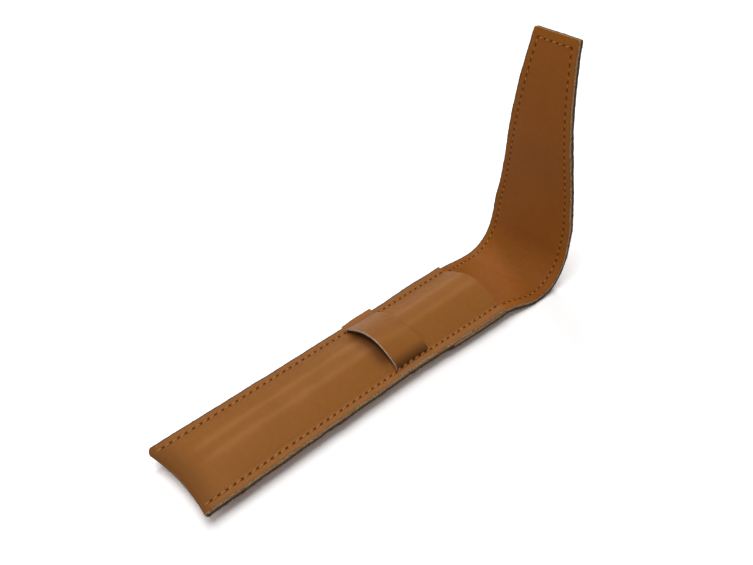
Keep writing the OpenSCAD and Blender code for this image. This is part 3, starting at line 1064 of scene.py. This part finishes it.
def loopAt(row, i):
    _, y = row
    x = loopX(i, y)
    e, k = pocketHalf - abs(x), stitchIndex(y)
    over = pocket["thick"] + loop["thick"] * loopShare(x) + loop["clear"] - seamPress(e, k)
    place = frontPlace(x, y, over)
    place.z += loopLift(x, y)
    place.x += strayed(x, y, pocketHalf)
    place.y += wobble((x, y, 0), loop["waveSize"], seed=23) * loop["wave"]
    return place, (x * loop["flatStretch"], y), (e, k)


def loopColumnShare(i):
    return loopShare(loopX(i, (loop["near"] + loop["far"]) / 2))


loopRows = [("loop", y) for y in spread(loop["near"], loop["far"], loop["rowStep"])]
loopFinishes = [loopLeather, fleshSide, litLoopEdge]
keeperLoop = cutLeather("keeperLoopLeather", loopRows, loopAt, loop["thick"], loopFinishes,
                        skive=(loopColumnShare, loop["thinEnd"]))
finishEdges(keeperLoop, [], loopCut)
for face in keeperLoop.data.polygons:
    if face.material_index == cutFace and face.center.y > (loop["far"] - loop["farBand"]) * mm:
        face.material_index = grainFace
print("keeper loop laid")


# Thread: one stitch is modelled, and copied along the seam
thread = {
    "radius": 0.26,
    "sides": 8,
    "spare": 0.3,    # how much longer than the stitch, at each end
    "bendsAt": (-1.15, -0.75, -0.25, 0.25, 0.75, 1.15),
    "flatten": 0.85,
    "raise": 0.11,
    "sink": 0.75,    # how far its ends dip into their holes
    "sinkPower": 2.5,
    "taper": 0.25,
    "slant": 12,
    "slantSpread": 3,
    "bite": 0.15,    # how far the seam's line lies under the surface
    "flapBite": 0.38,
    "climb": 0.6,    # it runs up over the loop in this length, and down again in the next
    "descend": 0.9,
    "tackOff": 0.5,
    "tackDrop": 0.9,
    "sharpAngle": 60,
}
seamCount = {"pocket": 46, "flap": 43, "tip": 5}


def modelStitch():
    deselectAll()
    half = seam["length"] / 2 + thread["spare"]
    bpy.ops.mesh.primitive_cylinder_add(vertices=thread["sides"], radius=thread["radius"] * mm,
                                        depth=2 * half * mm, end_fill_type="NGON",
                                        rotation=(math.pi / 2, 0, 0))
    stitch = bpy.context.object
    bpy.ops.object.transform_apply(rotation=True)
    setMode("EDIT")
    for y in thread["bendsAt"]:
        bpy.ops.mesh.select_all(action="SELECT")
        bpy.ops.mesh.bisect(plane_co=(0, y * mm, 0), plane_no=(0, 1, 0))
    setMode("OBJECT")
    mesh = stitch.data
    flatMap = mesh.uv_layers[0]
    flatMap.name = "flat"
    for corner in mesh.loops:
        co = mesh.vertices[corner.vertex_index].co
        flatMap.data[corner.index].uv = (math.atan2(co.x, co.z) / math.tau, co.y / mm)
    for v in mesh.vertices:
        share = min(1, abs(v.co.y / mm) / half)
        dip = thread["raise"] - thread["sink"] * share ** thread["sinkPower"]
        v.co.z = v.co.z * thread["flatten"] + dip * mm
        v.co.x *= 1 - thread["taper"] * share ** 2
    mesh.materials.append(threadFinish)
    return stitch


stitchModel = modelStitch()


def surfaceFrame(a, b, outward):
    # where a stitch from a to b lies, on a surface that faces outward
    along = (b - a).normalized()
    across = along.cross(outward).normalized()
    up = across.cross(along)
    turn = Matrix((across, along, up)).transposed().to_4x4()
    return Matrix.Translation((a + b) / 2 * mm) @ turn


def sewStitches(name, places):
    deselectAll()
    # each stitch has its own place in the noise, and so its own slant
    for k, (a, b, outward) in enumerate(places):
        copy = stitchModel.copy()
        copy.data = stitchModel.data.copy()
        bpy.context.collection.objects.link(copy)
        uneven = thread["slantSpread"] * noise.noise(Vector((k * 1.7, 0.3, len(places))))
        slant = math.radians(thread["slant"] + uneven)
        copy.matrix_world = surfaceFrame(a, b, outward) @ Matrix.Rotation(slant, 4, "Z")
        copy.select_set(True)
        bpy.context.view_layer.objects.active = copy
    bpy.ops.object.join()
    bpy.ops.object.transform_apply(location=True, rotation=True, scale=True)
    piece = bpy.context.object
    piece.name = name
    piece.data.name = name
    bpy.ops.object.shade_smooth_by_angle(angle=math.radians(thread["sharpAngle"]))
    return piece


def pocketSeam(side, y, z):
    x = side * (pocketHalf - seam["margin"])
    return Vector((x + strayed(x, y, pocketHalf), y, z))


def pocketTop(side, y):
    lift = loop["thick"] * loopShare(pocketHalf - seam["margin"])
    lift *= smooth((y - loop["near"] + thread["climb"] / 2) / thread["climb"])
    lift *= 1 - smooth((y - loop["far"]) / thread["descend"])
    return pocketSeam(side, y, frontSeat + pocket["thick"] + lift - thread["bite"])


def pocketUnder(side, y):
    return pocketSeam(side, y, marginHeight(y) + thread["bite"])


def flapSeam(side, s, d):
    w = flapWidth(min(s, flap["length"] - seam["margin"]))
    place = flapPlace(side * (w - seam["margin"]), s, d)
    place.x += strayed(place.x, mouthY + s, w)
    return place


def flapOut(s, face):
    slope = flapLine(s)[2] if s > flap["base"] else 0
    return Vector((0, -math.sin(slope), math.cos(slope))) * face


half = seam["length"] / 2
topOut, underOut = Vector((0, 0, 1)), Vector((0, 0, -1))
pocketYs = [firstStitch + seam["pitch"] * k for k in range(seamCount["pocket"])]
flapSs = [pocketYs[-1] + seam["pitch"] * (k + 2) - mouthY for k in range(seamCount["flap"])]
lengths = ["Pocket", "Bend1", "Bend2", "Flap"]
topRows = {length: [] for length in lengths}
underRows = {length: [] for length in lengths}
underLine = thread["bite"] - flapHalf
for side in (-1, 1):
    for y in pocketYs:
        topRows["Pocket"].append((pocketTop(side, y - half), pocketTop(side, y + half), topOut))
        underRows["Pocket"].append((pocketUnder(side, y - half), pocketUnder(side, y + half), underOut))
    for s in flapSs:
        length = lengths[sum(s > c for c in cuts[1:4])]
        for rows, d, face in ((topRows, flapHalf - thread["flapBite"], 1), (underRows, underLine, -1)):
            a, b = flapSeam(side, s - half, d), flapSeam(side, s + half, d)
            rows[length].append((a, b, flapOut(s, face)))
# across the flap's tip
for k in range(seamCount["tip"]):
    x = (k - (seamCount["tip"] - 1) / 2) * seam["pitch"]
    s = flap["length"] - seam["margin"]
    for rows, d, face in ((topRows, flapHalf - thread["bite"], 1), (underRows, underLine, -1)):
        a, b = flapPlace(x - half, s, d), flapPlace(x + half, s, d)
        rows["Flap"].append((a, b, flapOut(s, face)))
# the mouth's corners are held by two short stitches side by side
for side in (-1, 1):
    y = pocketYs[-1] + seam["pitch"]
    for shift in (-thread["tackOff"], thread["tackOff"]):
        a, b = pocketTop(side, y - half), pocketTop(side, y + half)
        a.x, b.x = a.x + shift, b.x + shift
        b.z -= thread["tackDrop"]
        topRows["Pocket"].append((a, b, topOut))
topThreads = [sewStitches("topStitches" + length, places) for length, places in topRows.items()]
underThreads = [sewStitches("underStitches" + length, places) for length, places in underRows.items()]
bpy.data.objects.remove(stitchModel)
print("seams sewn")


# What each piece stands for: the CAD parts that it takes the place of are hidden, and the loop is fixed to
# the sleeve
strips = [
    ("outer", "pocket", outerPieces),
    ("lining", "base", liningPieces),
    ("top_thread", "pocket", topThreads),
    ("under_thread", "pocket", underThreads),
]
for kind, first, pieces in strips:
    nodes = [f"{kind}_{length}" for length in (first, "bend_1", "bend_2", "bend_3")]
    last = f"{kind}_flap"
    for i, piece in enumerate(pieces):
        start, end = flapLine(cuts[i]), flapLine(cuts[i + 1])
        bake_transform(piece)
        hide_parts(nodes[i])
    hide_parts(last)
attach(keeperLoop, "sleeve")
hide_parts("keeper_loop")


# Floor, light and camera: the room is in metres, and the camera's place in millimetres
room = {
    "floorSize": 8,
    "floorDrop": 0.00005,
    "floorColor": (0.70, 0.70, 0.70, 1),
    "floorSeen": (1.42, 1.42, 1.42, 1),    # what the camera sees, so that the open floor is white
    "fadeFrom": 0.25,
    "fadeTo": 0.55,    # past this the floor is plain white
    "worldStrength": 0.09,
    "lampDistance": 1.3,
}
lamps = {
    "overhead": {"from": (-0.05, -0.11, 0.99), "size": 0.85, "power": 9.9},
    "low": {"from": (-0.82, 0.52, 0.24), "size": 0.26, "power": 0.9},
    "key": {"from": (-0.55, 0.42, 0.72), "size": 0.24, "power": 4.5},
    "front": {"from": (0.05, -0.80, 0.60), "size": 0.60, "power": 2.0},
    "side": {"from": (0.85, -0.35, 0.35), "size": 0.50, "power": 2.5},
}
view = {
    "place": (162.8, -128.4, 219.9),
    "azimuth": 47.8,
    "elevation": 39.24,
    "roll": -1.1,
    "focal": 771.35,    # in pixels of a picture of this width
    "pictureWidth": 753,
    "sensor": 36,
    "nearest": 0.01,
}


def seenRays(tree, kinds):
    # 1 for rays that show the background, and 0 for those that light the object
    path = newNode(tree, "LightPath")
    seen = path.outputs[f"Is {kinds[0]} Ray"]
    for kind in kinds[1:]:
        seen = mathNode(tree, "MAXIMUM", seen, path.outputs[f"Is {kind} Ray"])
    return seen


def layFloor():
    deselectAll()
    bpy.ops.mesh.primitive_plane_add(size=room["floorSize"], location=(0, 0, -room["floorDrop"]))
    floor = bpy.context.object
    floor.name = "floor"
    paint = bpy.data.materials.new("floorPaint")
    paint.use_nodes = True
    tree = paint.node_tree
    tree.nodes.remove(tree.nodes["Principled BSDF"])
    seen = seenRays(tree, ["Camera", "Glossy", "Transmission"])
    diffuse = newNode(tree, "BsdfDiffuse")
    tree.links.new(mixColor(tree, seen, room["floorColor"], room["floorSeen"]), diffuse.inputs["Color"])
    spot = newNode(tree, "VectorMath", operation="LENGTH")
    tree.links.new(newNode(tree, "TexCoord").outputs["Object"], spot.inputs[0])
    far = rampNode(tree, spot.outputs["Value"], room["fadeFrom"], room["fadeTo"])
    blank = newNode(tree, "Emission")
    both = newNode(tree, "MixShader")
    tree.links.new(mathNode(tree, "MULTIPLY", far, seen), both.inputs[0])
    tree.links.new(diffuse.outputs[0], both.inputs[1])
    tree.links.new(blank.outputs[0], both.inputs[2])
    tree.links.new(both.outputs[0], tree.nodes["Material Output"].inputs["Surface"])
    floor.data.materials.append(paint)


def lightWorld():
    world = bpy.data.worlds.new("studio")
    bpy.context.scene.world = world
    world.use_nodes = True
    tree = world.node_tree
    sky = tree.nodes["Background"]
    sky.inputs["Color"].default_value = (1, 1, 1, 1)
    seen = seenRays(tree, ["Camera", "Transmission"])
    dim = room["worldStrength"]
    tree.links.new(mathNode(tree, "MULTIPLY_ADD", seen, 1 - dim, dim), sky.inputs["Strength"])


def hangLamps():
    for name, lamp in lamps.items():
        direction = Vector(lamp["from"]).normalized()
        bpy.ops.object.light_add(type="AREA", location=direction * room["lampDistance"],
                                 rotation=direction.to_track_quat("Z", "Y").to_euler())
        light = bpy.context.object
        light.name = name
        light.data.shape = "SQUARE"
        light.data.size = lamp["size"]
        light.data.energy = lamp["power"]
        light.visible_camera = False


def placeCamera():
    a, e = math.radians(view["azimuth"]), math.radians(view["elevation"])
    back = Vector((math.sin(a) * math.cos(e), -math.cos(a) * math.cos(e), math.sin(e)))
    right = Vector((math.cos(a), math.sin(a), 0))
    turn = Matrix((right, back.cross(right), back)).transposed()
    bpy.ops.object.camera_add(location=Vector(view["place"]) * mm)
    camera = bpy.context.object
    camera.rotation_euler = (turn @ Matrix.Rotation(math.radians(view["roll"]), 3, "Z")).to_euler()
    camera.data.sensor_width = view["sensor"]
    camera.data.lens = view["focal"] * view["sensor"] / view["pictureWidth"]
    camera.data.clip_start = view["nearest"]
    bpy.context.scene.camera = camera


layFloor()
lightWorld()
hangLamps()
placeCamera()
bpy.context.scene.view_settings.view_transform = "Standard"
print("camera and light set")
